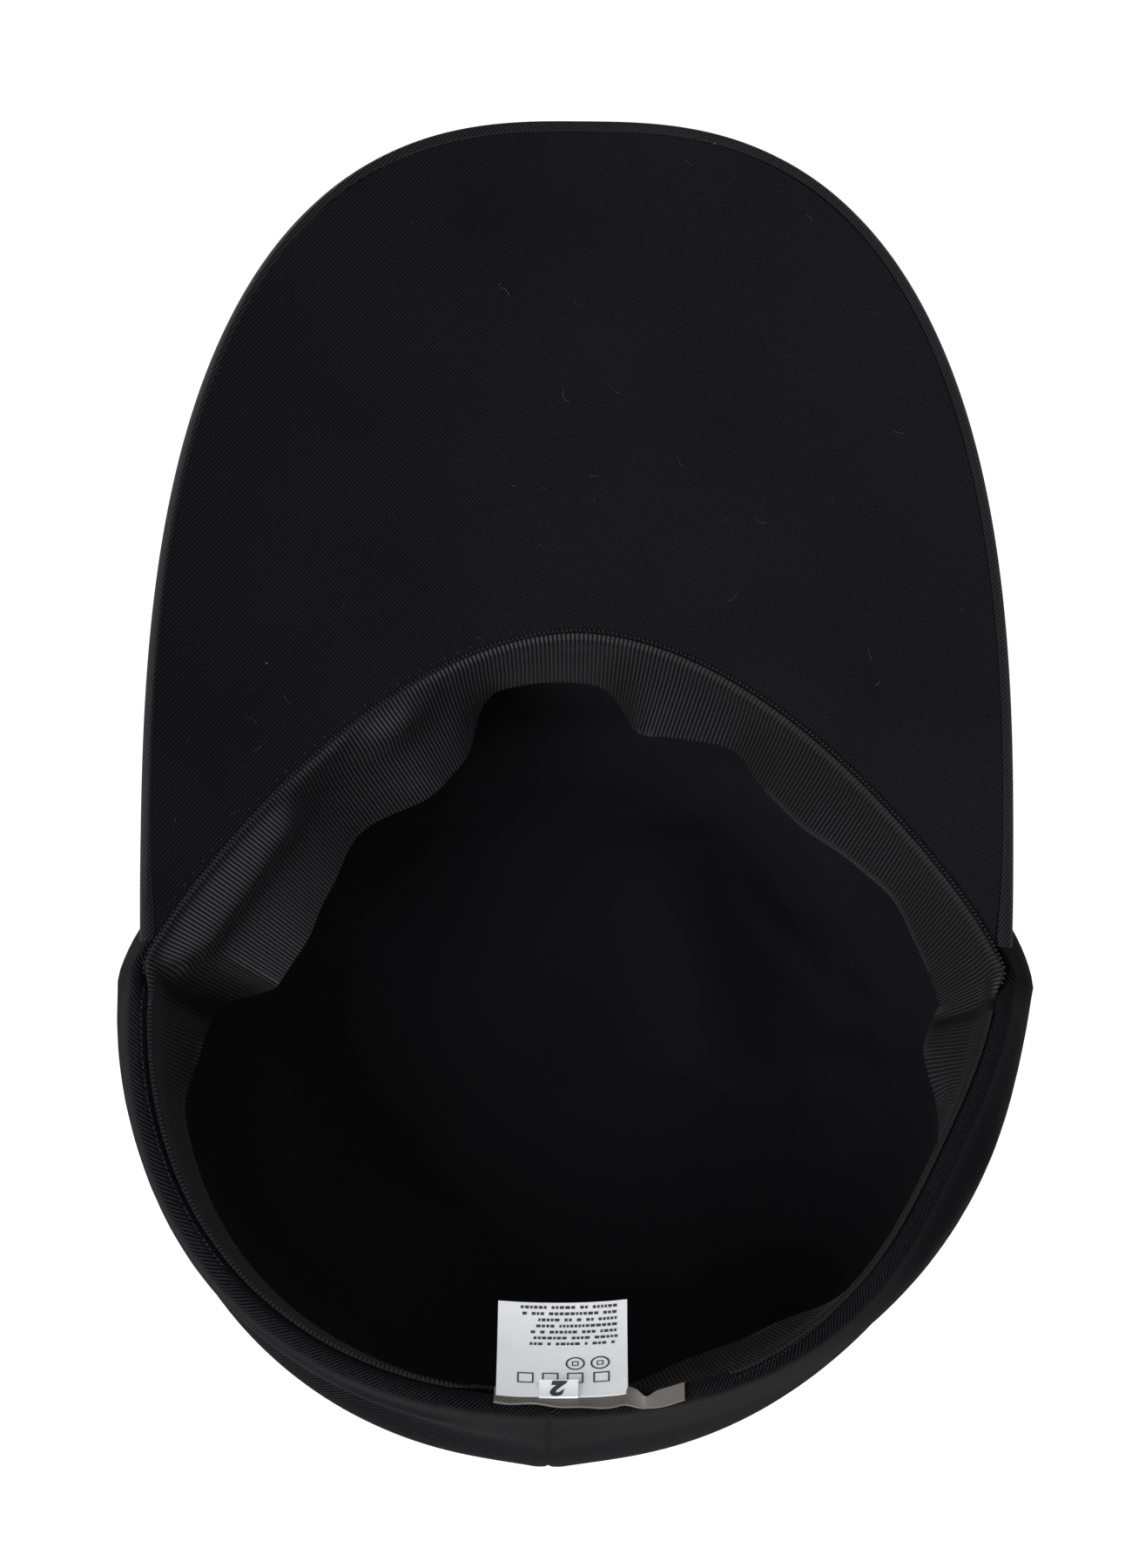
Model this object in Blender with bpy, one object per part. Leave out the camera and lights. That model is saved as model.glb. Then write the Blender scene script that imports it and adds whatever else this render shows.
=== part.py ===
"""A wool cap that lies upside down on its crown, with its long peak forward.

Metres, +Z up, +Y towards the tip of the peak. The origin is on the floor, under the middle of
the head opening. Angles run round the head opening from +X, so 90 degrees is the middle of the
forehead and 270 degrees the middle of the back.
"""

import math

import bmesh
import bpy
from mathutils import Vector

# Head opening, measured along the line where the sweatband is sewn
rim_half_width = 0.093
root_reach = 0.083
back_reach = 0.097
rim_height = 0.087
lie_angle = math.radians(10)
back_skew = 0.0047

# Cloth walls and the clearance between neighbours
wool_wall = 0.0015
lining_wall = 0.0010
band_wall = 0.0010
clearance = 0.0003
seat_clearance = 0.0006
lining_clearance = 0.0007

# Wool rolled over the rim
rim_roll = 0.005
rim_step = math.radians(6)
seam_drop = 1.20

# Peak
peak_length = 0.119
peak_half_width = 0.0940
peak_widest_behind = 0.0539
peak_slope = math.radians(10)
peak_arch = 0.034
peak_dip = 0.007
peak_power = 2.5
peak_corner = math.radians(4)
peak_corner_step = 0.001
under_cover_wall = 0.0012
upper_cover_wall = 0.0016
turned_edge = 0.002
turned_share = 0.4
edge_bulge = 0.0004

# Sweatband, with its bow between the sewn edge and the middle: how far in, and how far down.
# Where it stands far in, it lies flat by the seam first and then folds down: the fold values
# change the bow, from one share of band_width over the next.
band_width = 0.028
band_bow_in = 0.35
band_bow_down = 0.5
band_fold_in = 0.40
band_fold_down = 0.30
band_fold_from = 0.15
band_fold_over = 0.10
band_corner_ease = math.radians(7)

# Labels sewn in at the back
label_wall = 0.0010
label_clearance = 0.0003
label_drop = 0.36
care_label_width = 0.0276
care_label_length = 0.0294
care_label_lean = math.radians(44)
care_label_place = 0.0024
size_tab_width = 0.0082
size_tab_length = 0.0052
size_tab_place = 0.0017
woven_label_width = 0.0398
woven_label_length = 0.0062
woven_label_lean = math.radians(51)
woven_label_place = 0.0081
label_bend = math.radians(8)

# Mesh fineness
wall_columns = 60
row_steps = 2
band_columns = 96
peak_columns = 48
peak_rows = 5
label_columns = 6
label_rows = 4
solve_steps = 40
slope_step = 0.01
crease_angle = math.radians(50)

# One row for each section of the crown from the turned edge to the flat patch it lies on.
# height: share of the rim's own height at that angle. drop, out: shares of rim_roll.
# width, front, back: shares of the head opening. across, along: powers of the front curve.
# round: power of the back curve.
CROWN_COLUMNS = ("height", "drop", "out", "width", "front", "back", "across", "along", "round")
CROWN_ROWS = (
    # height, drop, out, width, front, back, across, along, round
    (1.000, 1.30, 0.00, 1.00, 1.00, 1.00, 1.85, 1.10, 2.2),
    (1.000, 0.36, 0.00, 1.00, 1.00, 1.00, 1.85, 1.10, 2.2),
    (1.000, 0.00, 0.42, 1.00, 1.00, 1.00, 1.85, 1.10, 2.2),
    (1.000, 0.42, 0.86, 1.00, 1.00, 1.00, 1.85, 1.12, 2.2),
    (0.880, 0.00, 1.00, 1.01, 1.00, 1.00, 1.88, 1.20, 2.15),
    (0.740, 0.00, 0.90, 1.025, 1.01, 1.02, 1.92, 1.30, 2.10),
    (0.560, 0.00, 0.60, 1.03, 1.03, 1.065, 2.00, 1.45, 2.05),
    (0.300, 0.00, 0.20, 0.98, 1.03, 0.98, 2.00, 1.65, 2.05),
    (0.090, 0.00, 0.00, 0.85, 0.97, 0.76, 2.00, 1.85, 2.2),
    (0.000, 0.00, 0.00, 0.65, 0.80, 0.46, 2.00, 2.00, 2.2),
)
LINING_FROM = 4.0

# One row for each dent or fold of the wall. angle, spread: degrees. level, depth of it:
# shares of the rim's height. out: share of rim_roll, negative where the cloth is pushed in.
CROWN_FOLDS = (
    # angle, spread, level, level_spread, out
    (230, 26, 0.680, 0.080, -1.30),
    (228, 24, 0.780, 0.060, 0.15),
    (-28, 20, 1.000, 0.090, -1.00),
    (-40, 24, 0.620, 0.100, -0.60),
    (270, 5, 0.700, 0.160, 0.30),
    (150, 30, 0.450, 0.150, -0.50),
    (25, 26, 0.400, 0.150, -0.60),
    (186, 14, 0.750, 0.150, 0.28),
    (7, 12, 0.780, 0.150, 0.55),
    (174, 9, 0.780, 0.150, 0.30),
)

# One row for each wave of the sweatband: how far, as a share of band_width, its middle and
# its free edge stand in from the wall, or out where less than nothing.
BAND_WAVES = (
    # angle, middle, free
    (0, 0.140, 0.350),
    (10, 0.120, 0.260),
    (20, 0.060, 0.150),
    (30, 0.100, 0.220),
    (40, 0.130, 0.320),
    (50, 0.120, 0.290),
    (60, 0.050, 0.140),
    (68, 0.120, 0.290),
    (77, 0.170, 0.450),
    (85, 0.040, 0.070),
    (105, 0.030, 0.000),
    (115, 0.180, 0.480),
    (125, 0.240, 0.600),
    (140, 0.140, 0.430),
    (155, 0.260, 0.640),
    (163, 0.330, 0.790),
    (175, 0.350, 0.840),
    (180, 0.160, 0.400),
    (190, 0.110, 0.280),
    (196, 0.050, 0.120),
    (245, 0.060, 0.140),
    (262, 0.040, 0.120),
    (278, 0.050, 0.140),
    (290, 0.100, 0.270),
    (303, 0.100, 0.240),
    (312, 0.020, 0.060),
    (322, -0.020, -0.050),
    (335, -0.030, -0.070),
    (342, 0.080, 0.100),
    (350, 0.150, 0.400),
)


def smooth_step(share):
    share = min(1.0, max(0.0, share))
    return share * share * (3 - 2 * share)


def curve_through(before, start, end, after, share):
    """One value of a smooth curve that passes through start and end."""
    slope_in = (end - before) / 2
    slope_out = (after - start) / 2
    rest = end - start
    bend = slope_in + slope_out - 2 * rest
    return start + share * (slope_in + share * ((3 * rest - 2 * slope_in - slope_out) + share * bend))


def crown_row(place):
    """The crown's section at a place between two rows of the table, as named values."""
    last = len(CROWN_ROWS) - 1
    first = min(int(place), last - 1)
    rows = [CROWN_ROWS[min(last, max(0, first + step))] for step in (-1, 0, 1, 2)]
    values = [curve_through(*column, place - first) for column in zip(*rows)]
    return dict(zip(CROWN_COLUMNS, values))


def wave_at(angle, column):
    """A column of the sweatband's table at any angle, eased from wave to wave."""
    turn = math.degrees(angle) % 360
    rows = list(BAND_WAVES) + [(BAND_WAVES[0][0] + 360,) + BAND_WAVES[0][1:]]
    for start, end in zip(rows, rows[1:]):
        if start[0] <= turn <= end[0]:
            share = smooth_step((turn - start[0]) / (end[0] - start[0]))
            return start[column] + share * (end[column] - start[column])


def fold_at(angle, height):
    """How far the folds push the wall out at this angle and share of the rim's height."""
    total = 0.0
    for fold_angle, spread, level, level_spread, out in CROWN_FOLDS:
        turn = (math.degrees(angle) - fold_angle + 180) % 360 - 180
        total += out * math.exp(-((turn / spread) ** 2) - ((height - level) / level_spread) ** 2)
    return total * rim_roll


def plan_radius(angle, half_width, reach, across, along):
    """Distance from the middle to the curve |x/half_width|^across + |y/reach|^along = 1."""
    side = abs(math.cos(angle)) / half_width
    front = abs(math.sin(angle)) / reach
    low = 0.0
    high = 2 * max(half_width, reach)
    for _ in range(solve_steps):
        middle = (low + high) / 2
        if (middle * side) ** across + (middle * front) ** along < 1:
            low = middle
        else:
            high = middle
    return low


def plan_point(angle, row):
    """The crown's outline in plan at one section. y is still along the tilted opening."""
    out = row["out"] * rim_roll + fold_at(angle, row["height"])
    half_width = rim_half_width * row["width"] + out
    if math.sin(angle) >= 0:
        reach = root_reach * row["front"] + out
        radius = plan_radius(angle, half_width, reach, row["across"], row["along"])
    else:
        reach = back_reach * row["back"] + out
        radius = plan_radius(angle, half_width, reach, row["round"], row["round"])
    x = radius * math.cos(angle)
    y = radius * math.sin(angle)
    return x - back_skew * max(0.0, -y / back_reach), y


def peak_height(x, y):
    """Height of the peak's face, the side that looks up while the cap lies on its crown."""
    root_y = root_reach * math.cos(lie_angle)
    root_z = rim_height - root_reach * math.sin(lie_angle) - peak_dip
    arch = peak_arch * (x / peak_half_width) ** 2 / math.cos(peak_slope)
    return root_z + (y - root_y) * math.tan(peak_slope) + arch


def peak_normal(x):
    across = 2 * peak_arch * x / (peak_half_width**2 * math.cos(peak_slope))
    return Vector((-across, -math.tan(peak_slope), 1)).normalized()


def peak_point(place, depth):
    """A point at this depth under the peak's face."""
    x, y = place
    return Vector((x, y, peak_height(x, y))) - peak_normal(x) * depth


peak_wall = under_cover_wall + clearance + upper_cover_wall


def under_peak(angle):
    """1 along the root of the peak, easing to 0 just behind each of its corners."""
    behind = math.asin(math.sin(angle)) / rim_step
    return smooth_step(1 + behind)


def rim_top(angle, x, y):
    """Height of the rim: the tilted opening, and under the peak the seat that carries it."""
    opening = rim_height - y * math.tan(lie_angle)
    seat = peak_height(x, y) - (peak_wall + seat_clearance) / peak_normal(x).z
    return opening + under_peak(angle) * (seat - opening)


def crown_point(angle, place):
    """A point of the crown's outer skin."""
    row = crown_row(place)
    x, along = plan_point(angle, row)
    y = along * math.cos(lie_angle)
    return Vector((x, y, row["height"] * rim_top(angle, x, y) - row["drop"] * rim_roll))


def crown_normal(angle, place):
    """Outward normal of the crown's skin, from points close by."""
    last = len(CROWN_ROWS) - 1
    round_step = crown_point(angle + slope_step, place) - crown_point(angle - slope_step, place)
    low = min(last, place + slope_step)
    high = max(0.0, place - slope_step)
    down_step = crown_point(angle, low) - crown_point(angle, high)
    return down_step.cross(round_step).normalized()


def finish(name, bm, colour, roughness, wall=0.0):
    """Make the mesh an object, and give a single skin its wall, inwards."""
    mesh = bpy.data.meshes.new(name)
    bm.to_mesh(mesh)
    bm.free()
    mesh.shade_smooth()
    mesh.set_sharp_from_angle(angle=crease_angle)
    material = bpy.data.materials.new(name)
    material.use_nodes = True
    shader = material.node_tree.nodes["Principled BSDF"]
    shader.inputs["Base Color"].default_value = (*colour, 1)
    shader.inputs["Roughness"].default_value = roughness
    shader.inputs["Metallic"].default_value = 0.0
    mesh.materials.append(material)
    piece = bpy.data.objects.new(name, mesh)
    bpy.context.collection.objects.link(piece)
    if wall:
        solidify = piece.modifiers.new("wall", "SOLIDIFY")
        solidify.thickness = wall
        solidify.offset = -1
        solidify.use_quality_normals = True
    return piece


def skin(rows, closed):
    """A sheet of quads through rows of points, closed round or open."""
    bm = bmesh.new()
    lines = [[bm.verts.new(point) for point in row] for row in rows]
    count = len(lines[0])
    for upper, lower in zip(lines, lines[1:]):
        for first in range(count if closed else count - 1):
            second = (first + 1) % count
            bm.faces.new((upper[first], lower[first], lower[second], upper[second]))
    return bm, lines


def face_towards(bm, which, direction):
    """Turn the whole sheet so that one of its faces looks in this direction."""
    bmesh.ops.recalc_face_normals(bm, faces=bm.faces)
    bm.faces.ensure_lookup_table()
    if bm.faces[which].normal.dot(direction) < 0:
        bmesh.ops.reverse_faces(bm, faces=bm.faces)


def box_of_sections(sections):
    """A solid lofted through closed sections, with its two ends filled."""
    bm, lines = skin(sections, closed=True)
    bm.faces.new(lines[0])
    bm.faces.new(reversed(lines[-1]))
    bmesh.ops.recalc_face_normals(bm, faces=bm.faces)
    return bm


def angles(count):
    return [math.tau * step / count for step in range(count)]


def build_crown():
    """The wool shell, turned in over the rim, with a flat patch where it lies."""
    last = (len(CROWN_ROWS) - 1) * row_steps
    rows = [
        [crown_point(angle, step / row_steps) for angle in angles(wall_columns)]
        for step in range(last + 1)
    ]
    bm, lines = skin(rows, closed=True)
    bm.faces.new(lines[-1])
    face_towards(bm, -1, Vector((0, 0, -1)))
    return finish("crown", bm, (0.012, 0.012, 0.015), 0.9, wool_wall)


def build_lining():
    """The cotton lining, which follows the inside of the wool."""
    depth = wool_wall + lining_clearance
    last = len(CROWN_ROWS) - 1
    places = [LINING_FROM + step / row_steps for step in range(int((last - LINING_FROM) * row_steps))]
    rows = []
    for place in places:
        rows.append(
            [
                crown_point(angle, place) - crown_normal(angle, place) * depth
                for angle in angles(wall_columns)
            ]
        )
    floor = []
    for angle in angles(wall_columns):
        edge = crown_point(angle, last)
        floor.append(Vector((edge.x, edge.y, depth)))
    rows.append(floor)
    bm, lines = skin(rows, closed=True)
    bm.faces.new(lines[-1])
    face_towards(bm, -1, Vector((0, 0, -1)))
    # The lining's sheet is its outer skin too, so its wall also goes inwards
    return finish("lining", bm, (0.006, 0.006, 0.008), 0.85, lining_wall)


def seam_frame(angle):
    """Where the sweatband is sewn: a point, and the level direction into the hollow."""
    row = crown_row(0)
    ahead = Vector(plan_point(angle + band_corner_ease, row))
    behind = Vector(plan_point(angle - band_corner_ease, row))
    run = (ahead - behind).normalized()
    x, along = plan_point(angle, row)
    return Vector((x, along * math.cos(lie_angle), 0)), Vector((-run.y, run.x, 0))


def seam_height(angle, x, y):
    """The sewn edge is level with the peak's face in front, and with the turned wool behind."""
    under = rim_top(angle, x, y)
    face = peak_height(x, y)
    share = under_peak(angle)
    return under + share * (face - under) - (1 - share) * seam_drop * rim_roll


def build_sweatband():
    """A ribbon sewn along one edge, whose free edge waves into the hollow."""
    rows = [[], [], [], []]
    half = band_width / 2
    for angle in angles(band_columns):
        seam, inwards = seam_frame(angle)
        middle_in = wave_at(angle, 1) * band_width
        free_in = wave_at(angle, 2) * band_width
        middle_drop = math.sqrt(half**2 - middle_in**2)
        free_drop = middle_drop + math.sqrt(max(0.0, half**2 - (free_in - middle_in) ** 2))
        top = seam + inwards * (clearance + band_wall)
        top.z = seam_height(angle, seam.x, seam.y)
        down = Vector((0, 0, -1))
        fold = smooth_step((wave_at(angle, 1) - band_fold_from) / band_fold_over)
        bow_in = middle_in * (band_bow_in + fold * band_fold_in)
        bow_drop = middle_drop * (band_bow_down - fold * band_fold_down)
        rows[0].append(top)
        rows[1].append(top + inwards * bow_in + down * bow_drop)
        rows[2].append(top + inwards * middle_in + down * middle_drop)
        rows[3].append(top + inwards * free_in + down * free_drop)
    bm, _ = skin(rows, closed=True)
    face_towards(bm, 0, Vector((-1, 0, 0)))
    return finish("sweatband", bm, (0.012, 0.011, 0.015), 0.7, band_wall)


def peak_lines():
    """Pairs of places in plan, from the root to the outer edge, from one corner to the other."""
    row = crown_row(0)
    semi_length = peak_length + peak_widest_behind
    root_y = root_reach * math.cos(lie_angle)
    widest_y = root_y - peak_widest_behind * math.cos(peak_slope)
    corner_y = plan_point(peak_corner, row)[1] * math.cos(lie_angle) - peak_corner_step
    corner_share = (widest_y - corner_y) / (semi_length * math.cos(peak_slope))
    start = -math.asin(corner_share ** (peak_power / 2))
    pairs = []
    for step in range(peak_columns + 1):
        share = step / peak_columns
        angle = peak_corner + share * (math.pi - 2 * peak_corner)
        x, along = plan_point(angle, row)
        root = Vector((x, along * math.cos(lie_angle)))
        turn = start + share * (math.pi - 2 * start)
        side = math.copysign(abs(math.cos(turn)) ** (2 / peak_power), math.cos(turn))
        tip = math.copysign(abs(math.sin(turn)) ** (2 / peak_power), math.sin(turn))
        edge = Vector((peak_half_width * side, widest_y + semi_length * tip * math.cos(peak_slope)))
        pairs.append((root, edge))
    return pairs


def build_peak_under():
    """The cover on the side that shades the face, inside the turned edge of the upper cover."""
    sections = []
    for root, edge in peak_lines():
        width = (edge - root).length
        lip = min(turned_edge, turned_share * width) + clearance
        inner = edge + (root - edge) * (lip / width)
        shares = [step / peak_rows for step in range(peak_rows + 1)]
        face = [peak_point(root.lerp(inner, share), 0) for share in shares]
        back = [peak_point(root.lerp(inner, share), under_cover_wall) for share in reversed(shares)]
        sections.append(face + back)
    return finish("peak_under", box_of_sections(sections), (0.010, 0.010, 0.013), 0.92)


def build_peak_upper():
    """The cover on the outside of the peak, turned round the edge onto the other side."""
    seat = under_cover_wall + clearance
    sections = []
    for root, edge in peak_lines():
        width = (edge - root).length
        lip = min(turned_edge, turned_share * width)
        inner = edge + (root - edge) * (lip / width)
        bulge = edge + (edge - root) * (edge_bulge / width)
        shares = [step / peak_rows for step in range(peak_rows + 1)]
        outside = [peak_point(root.lerp(edge, share), peak_wall) for share in shares]
        turned = [peak_point(bulge, peak_wall / 2), peak_point(edge, 0), peak_point(inner, 0)]
        inside = [peak_point(root.lerp(inner, share), seat) for share in reversed(shares)]
        sections.append(outside + turned + inside)
    return finish("peak_upper", box_of_sections(sections), (0.013, 0.013, 0.016), 0.9)


def back_seam(x):
    """Where the sewn line at the back lies at this distance across, y and height."""
    row = crown_row(0)
    back_x, back_along = plan_point(-math.pi / 2, row)
    share = abs(x - back_x) / rim_half_width
    y = back_along * (1 - share ** row["round"]) ** (1 / row["round"]) * math.cos(lie_angle)
    return y, rim_top(-math.pi / 2, x, y) - label_drop * rim_roll


def build_label(name, width, length, lean, place, lift, colour, roughness):
    """A label sewn in at the middle of the back, leaning down into the hollow."""
    back_x = plan_point(-math.pi / 2, crown_row(0))[0]
    seat = clearance + label_wall * math.sin(lean + label_bend) + label_clearance
    rows = [[] for _ in range(label_rows + 1)]
    for across in range(label_columns + 1):
        x = back_x + place + width * (across / label_columns - 0.5)
        seam_y, seam_z = back_seam(x)
        root = Vector((x, seam_y + seat, seam_z + lift))
        for down, row in enumerate(rows):
            share = down / label_rows
            bend = lean + label_bend * (0.5 - share)
            row.append(root + Vector((0, math.cos(bend), -math.sin(bend))) * length * share)
    bm, _ = skin(rows, closed=False)
    face_towards(bm, 0, Vector((0, 0, 1)))
    return finish(name, bm, colour, roughness, label_wall)


def build_labels():
    white = (0.63, 0.64, 0.65)
    taupe = (0.10, 0.09, 0.08)
    stack = label_wall + clearance
    build_label(
        "care_label", care_label_width, care_label_length, care_label_lean,
        care_label_place, 0.0, white, 0.6,
    )
    build_label(
        "size_tab", size_tab_width, size_tab_length, care_label_lean,
        size_tab_place, stack / math.cos(care_label_lean), white, 0.6,
    )
    build_label(
        "woven_label", woven_label_width, woven_label_length, woven_label_lean,
        woven_label_place, -stack / math.cos(care_label_lean), taupe, 0.45,
    )


for old in list(bpy.data.objects):
    bpy.data.objects.remove(old, do_unlink=True)

build_crown()
build_lining()
build_sweatband()
build_peak_under()
build_peak_upper()
build_labels()
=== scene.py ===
# %% [markdown]
# A black wool cap lies upside down on its crown, so that we look into its head hollow. This
# lesson dresses a frame of exact solids: each solid gives way to a cloth of the same form that
# has the folds, ribs, loops and stitches of the real one. First the frame is loaded; nothing
# that we add may change the size of the cap.

# %% Load the frame
import math
import random

import bmesh
import bpy
import numpy
from mathutils import Matrix, Vector
from mathutils.bvhtree import BVHTree


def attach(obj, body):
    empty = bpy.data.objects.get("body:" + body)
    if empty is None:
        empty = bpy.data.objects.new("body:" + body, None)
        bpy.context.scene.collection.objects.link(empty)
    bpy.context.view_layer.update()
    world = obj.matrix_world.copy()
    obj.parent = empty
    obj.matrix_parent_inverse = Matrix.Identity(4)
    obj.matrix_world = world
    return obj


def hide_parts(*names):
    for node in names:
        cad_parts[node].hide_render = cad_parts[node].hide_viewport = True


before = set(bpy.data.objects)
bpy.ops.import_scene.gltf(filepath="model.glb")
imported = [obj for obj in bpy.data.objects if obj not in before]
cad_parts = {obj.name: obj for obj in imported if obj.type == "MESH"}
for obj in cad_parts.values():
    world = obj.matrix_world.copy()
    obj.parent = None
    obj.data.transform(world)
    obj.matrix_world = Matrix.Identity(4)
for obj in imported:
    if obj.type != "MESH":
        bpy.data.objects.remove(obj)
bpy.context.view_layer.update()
print("nodes:", ", ".join(sorted(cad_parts)))

# %% [markdown]
# The camera stands almost above the cap, 15 degrees from straight down. A long lens at one
# metre gives the mild perspective that such a product picture has. The matrix is written out
# by hand, because the camera is also turned half a degree about its own axis.

# %% Camera
camera_rise = math.radians(75)
camera_roll = math.radians(0.47)
camera_aim = Vector((-0.0025, 0.0484, 0.06))
camera_distance = 1.0
camera_lens = 101.25
camera_sensor = 36.0
picture_width = 1300
picture_height = 1800

look = Vector((0, math.cos(camera_rise), -math.sin(camera_rise)))
level_right = Vector((1, 0, 0))
level_up = level_right.cross(look)
picture_right = level_right * math.cos(camera_roll) + level_up * math.sin(camera_roll)
picture_up = level_up * math.cos(camera_roll) - level_right * math.sin(camera_roll)
camera_place = camera_aim - look * camera_distance

camera_data = bpy.data.cameras.new("camera")
camera_data.lens = camera_lens
camera_data.sensor_fit = "VERTICAL"
camera_data.sensor_height = camera_sensor
camera = bpy.data.objects.new("camera", camera_data)
turn = Matrix((picture_right, picture_up, -look)).transposed().to_4x4()
camera.matrix_world = Matrix.Translation(camera_place) @ turn
bpy.context.scene.collection.objects.link(camera)
bpy.context.scene.camera = camera
print("camera at", [round(value, 3) for value in camera_place])

# %% [markdown]
# The floor is a light table, as for a product picture on pure white: it glows by itself, so the
# cap throws almost no shadow on it. The other light is that of a white tent: an even sky and
# two large soft lamps. The stronger one stands at the left, so the walls of the hollow that
# face it are lighter than those that turn away. The table is no brighter than white needs,
# because it also lights the outer side of the crown.

# %% Floor and lights
floor_size = 10.0
floor_glow = 0.98
sky_strength = 0.46


def add_new(add, **settings):
    """Add a primitive while nothing else is selected."""
    bpy.ops.object.select_all(action="DESELECT")
    add(**settings)
    return bpy.context.active_object


floor = add_new(bpy.ops.mesh.primitive_plane_add, size=floor_size, location=(0, 0, -0.0002))
floor.name = "floor"
bpy.ops.object.transform_apply(location=True)
floor_finish = bpy.data.materials.new("floor_paper")
floor_finish.use_nodes = True
floor_shader = floor_finish.node_tree.nodes["Principled BSDF"]
floor_shader.inputs["Base Color"].default_value = (0.16, 0.16, 0.16, 1)
floor_shader.inputs["Emission Color"].default_value = (1, 1, 1, 1)
floor_shader.inputs["Emission Strength"].default_value = floor_glow
floor_shader.inputs["Roughness"].default_value = 0.9
floor_shader.inputs["Specular IOR Level"].default_value = 0.1
floor.data.materials.append(floor_finish)

sky = bpy.data.worlds.new("tent")
sky.use_nodes = True
sky.node_tree.nodes["Background"].inputs["Color"].default_value = (1, 1, 1, 1)
sky.node_tree.nodes["Background"].inputs["Strength"].default_value = sky_strength
bpy.context.scene.world = sky
bpy.context.scene.view_settings.view_transform = "Standard"


def soft_lamp(name, place, aim, size, power):
    data = bpy.data.lights.new(name, "AREA")
    data.shape = "RECTANGLE"
    data.size, data.size_y = size
    data.energy = power
    lamp = bpy.data.objects.new(name, data)
    lamp.location = place
    lamp.rotation_euler = (Vector(aim) - Vector(place)).to_track_quat("-Z", "Y").to_euler()
    bpy.context.scene.collection.objects.link(lamp)


soft_lamp("lamp_left", (-0.78, -0.66, 0.98), (0, 0.02, 0.04), (0.8, 0.8), 28)
soft_lamp("lamp_right", (0.90, 0.30, 1.05), (0, 0.02, 0.05), (0.8, 0.6), 4)
print("lamps: 2, sky:", sky_strength)

# %% [markdown]
# The cap's form comes from one table of sections. Each row is the outline of the crown at one
# level, from the wool turned in over the rim down to the flat patch on which the cap lies.
# The values are those of the solid source, so that a cloth made from them lies where its
# solid lies. Between two rows a smooth curve through four of them gives any level we want.

# %% The sizes of the cap
rim_half_width = 0.093
root_reach = 0.083
back_reach = 0.097
rim_height = 0.087
lie_angle = math.radians(10)
back_skew = 0.0047
wool_wall = 0.0015
lining_wall = 0.0010
band_wall = 0.0010
clearance = 0.0003
seat_clearance = 0.0006
lining_clearance = 0.0007
rim_roll = 0.005
rim_step = math.radians(6)
seam_drop = 1.20
peak_length = 0.119
peak_half_width = 0.0940
peak_widest_behind = 0.0539
peak_slope = math.radians(10)
peak_arch = 0.034
peak_dip = 0.007
peak_power = 2.5
peak_corner = math.radians(4)
peak_corner_step = 0.001
under_cover_wall = 0.0012
upper_cover_wall = 0.0016
turned_edge = 0.002
turned_share = 0.4
band_width = 0.028
band_bow_in = 0.35
band_bow_down = 0.5
band_fold_in = 0.40
band_fold_down = 0.30
band_fold_from = 0.15
band_fold_over = 0.10
band_corner_ease = math.radians(7)
label_wall = 0.0010
label_drop = 0.36
label_bend = math.radians(8)

CROWN_COLUMNS = ("height", "drop", "out", "width", "front", "back", "across", "along", "round")
CROWN_ROWS = (
    # height, drop, out, width, front, back, across, along, round
    (1.000, 1.30, 0.00, 1.00, 1.00, 1.00, 1.85, 1.10, 2.2),
    (1.000, 0.36, 0.00, 1.00, 1.00, 1.00, 1.85, 1.10, 2.2),
    (1.000, 0.00, 0.42, 1.00, 1.00, 1.00, 1.85, 1.10, 2.2),
    (1.000, 0.42, 0.86, 1.00, 1.00, 1.00, 1.85, 1.12, 2.2),
    (0.880, 0.00, 1.00, 1.01, 1.00, 1.00, 1.88, 1.20, 2.15),
    (0.740, 0.00, 0.90, 1.025, 1.01, 1.02, 1.92, 1.30, 2.10),
    (0.560, 0.00, 0.60, 1.03, 1.03, 1.065, 2.00, 1.45, 2.05),
    (0.300, 0.00, 0.20, 0.98, 1.03, 0.98, 2.00, 1.65, 2.05),
    (0.090, 0.00, 0.00, 0.85, 0.97, 0.76, 2.00, 1.85, 2.2),
    (0.000, 0.00, 0.00, 0.65, 0.80, 0.46, 2.00, 2.00, 2.2),
)
LINING_FROM = 4.0

CROWN_FOLDS = (
    # angle, spread, level, level_spread, out
    (230, 26, 0.680, 0.080, -1.30),
    (228, 24, 0.780, 0.060, 0.15),
    (-28, 20, 1.000, 0.090, -1.00),
    (-40, 24, 0.620, 0.100, -0.60),
    (270, 5, 0.700, 0.160, 0.30),
    (150, 30, 0.450, 0.150, -0.50),
    (25, 26, 0.400, 0.150, -0.60),
    (186, 14, 0.750, 0.150, 0.28),
    (7, 12, 0.780, 0.150, 0.55),
    (174, 9, 0.780, 0.150, 0.30),
)

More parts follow.
